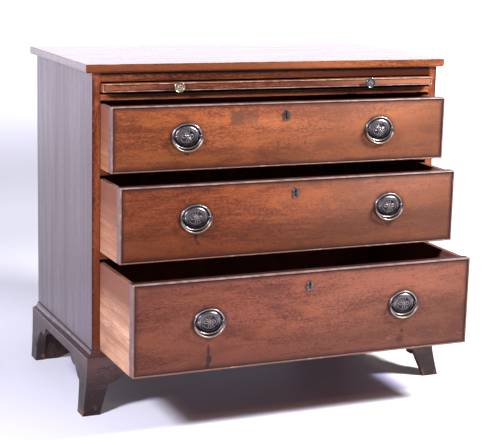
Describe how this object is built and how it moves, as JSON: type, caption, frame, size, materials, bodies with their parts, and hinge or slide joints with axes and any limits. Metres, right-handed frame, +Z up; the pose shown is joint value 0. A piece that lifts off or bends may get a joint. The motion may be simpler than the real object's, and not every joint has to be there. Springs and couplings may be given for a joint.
{
  "type": "bachelors chest",
  "caption": "Low mahogany chest with a brushing slide, locking cockbeaded drawers on runners, oval bail handles and splayed bracket feet.",
  "frame": {"origin": "on the floor under the middle of the bounding box, with the drawers and the slide out as pictured", "axes": "+X to the viewer's right, +Y to the back, +Z up; the drawers and the slide open along -Y"},
  "size_m": [0.9386, 0.6978, 0.8],
  "materials": {
    "mahogany_top": "old wax polish, glossy",
    "mahogany_side": "old wax polish",
    "mahogany_front": "old wax polish, satin",
    "mahogany_base": "worn wax polish",
    "mahogany_bead": "worn wax polish",
    "oak": "unpolished",
    "pine": "unpolished, dusty",
    "brass": "dull patina with rubbed highlights",
    "iron": "dull"
  },
  "bodies": {
    "carcase": {"top_board": "mahogany_top", "top_rail": "mahogany_front", "side_panel_left": "mahogany_side", "side_panel_right": "mahogany_side", "back_panel": "pine", "bottom_board": "pine", "web_frame_lower": "mahogany_front", "web_frame_upper": "mahogany_front", "web_frame_slide": "mahogany_front", "base_moulding_front": "mahogany_base", "base_moulding_left": "mahogany_base", "base_moulding_right": "mahogany_base", "plinth_front": "mahogany_base", "plinth_left": "mahogany_base", "plinth_right": "mahogany_base", "rear_bracket_left": "pine", "rear_bracket_right": "pine"},
    "slide": {"slide_board": "mahogany_top", "slide_front_edge": "mahogany_front", "slide_knob_left": "brass", "slide_knob_right": "brass"},
    "drawer_lower": {"drawer_lower_front": "mahogany_front", "drawer_lower_cockbead": "mahogany_bead", "drawer_lower_side_left": "oak", "drawer_lower_side_right": "oak", "drawer_lower_back": "oak", "drawer_lower_bottom": "oak", "drawer_lower_escutcheon": "brass", "drawer_lower_lock": "iron", "drawer_lower_handle_plate_left": "brass", "drawer_lower_handle_plate_right": "brass"},
    "drawer_middle": {"drawer_middle_front": "mahogany_front", "drawer_middle_cockbead": "mahogany_bead", "drawer_middle_side_left": "oak", "drawer_middle_side_right": "oak", "drawer_middle_back": "oak", "drawer_middle_bottom": "oak", "drawer_middle_escutcheon": "brass", "drawer_middle_lock": "iron", "drawer_middle_handle_plate_left": "brass", "drawer_middle_handle_plate_right": "brass"},
    "drawer_upper": {"drawer_upper_front": "mahogany_front", "drawer_upper_cockbead": "mahogany_bead", "drawer_upper_side_left": "oak", "drawer_upper_side_right": "oak", "drawer_upper_back": "oak", "drawer_upper_bottom": "oak", "drawer_upper_escutcheon": "brass", "drawer_upper_lock": "iron", "drawer_upper_handle_plate_left": "brass", "drawer_upper_handle_plate_right": "brass"},
    "bolt_lower": {"drawer_lower_lock_bolt": "iron"},
    "bolt_middle": {"drawer_middle_lock_bolt": "iron"},
    "bolt_upper": {"drawer_upper_lock_bolt": "iron"},
    "bail_lower_left": {"drawer_lower_bail_left": "brass"},
    "bail_lower_right": {"drawer_lower_bail_right": "brass"},
    "bail_middle_left": {"drawer_middle_bail_left": "brass"},
    "bail_middle_right": {"drawer_middle_bail_right": "brass"},
    "bail_upper_left": {"drawer_upper_bail_left": "brass"},
    "bail_upper_right": {"drawer_upper_bail_right": "brass"}
  },
  "joints": [
    {"name": "slide_pull", "type": "slide", "parent": "carcase", "child": "slide", "axis": [0, -1, 0], "range_m": [-0.0175, 0.2825]},
    {"name": "drawer_lower_pull", "type": "slide", "parent": "carcase", "child": "drawer_lower", "axis": [0, -1, 0], "range_m": [-0.2266, 0.1034]},
    {"name": "drawer_middle_pull", "type": "slide", "parent": "carcase", "child": "drawer_middle", "axis": [0, -1, 0], "range_m": [-0.1378, 0.1922]},
    {"name": "drawer_upper_pull", "type": "slide", "parent": "carcase", "child": "drawer_upper", "axis": [0, -1, 0], "range_m": [-0.0772, 0.2528]},
    {"name": "bolt_lower_throw", "type": "slide", "parent": "drawer_lower", "child": "bolt_lower", "axis": [0, 0, 1], "range_m": [0, 0.009]},
    {"name": "bolt_middle_throw", "type": "slide", "parent": "drawer_middle", "child": "bolt_middle", "axis": [0, 0, 1], "range_m": [0, 0.009]},
    {"name": "bolt_upper_throw", "type": "slide", "parent": "drawer_upper", "child": "bolt_upper", "axis": [0, 0, 1], "range_m": [0, 0.009]},
    {"name": "bail_lower_left_swing", "type": "hinge", "parent": "drawer_lower", "child": "bail_lower_left", "pos_m": [-0.2427, -0.3453, 0.2585], "axis": [-1, 0, 0], "range_deg": [0, 170]},
    {"name": "bail_lower_right_swing", "type": "hinge", "parent": "drawer_lower", "child": "bail_lower_right", "pos_m": [0.2427, -0.3453, 0.2585], "axis": [-1, 0, 0], "range_deg": [0, 170]},
    {"name": "bail_middle_left_swing", "type": "hinge", "parent": "drawer_middle", "child": "bail_middle_left", "pos_m": [-0.2427, -0.2565, 0.4728], "axis": [-1, 0, 0], "range_deg": [0, 170]},
    {"name": "bail_middle_right_swing", "type": "hinge", "parent": "drawer_middle", "child": "bail_middle_right", "pos_m": [0.2427, -0.2565, 0.4728], "axis": [-1, 0, 0], "range_deg": [0, 170]},
    {"name": "bail_upper_left_swing", "type": "hinge", "parent": "drawer_upper", "child": "bail_upper_left", "pos_m": [-0.2427, -0.1959, 0.6452], "axis": [-1, 0, 0], "range_deg": [0, 170]},
    {"name": "bail_upper_right_swing", "type": "hinge", "parent": "drawer_upper", "child": "bail_upper_right", "pos_m": [0.2427, -0.1959, 0.6452], "axis": [-1, 0, 0], "range_deg": [0, 170]}
  ]
}
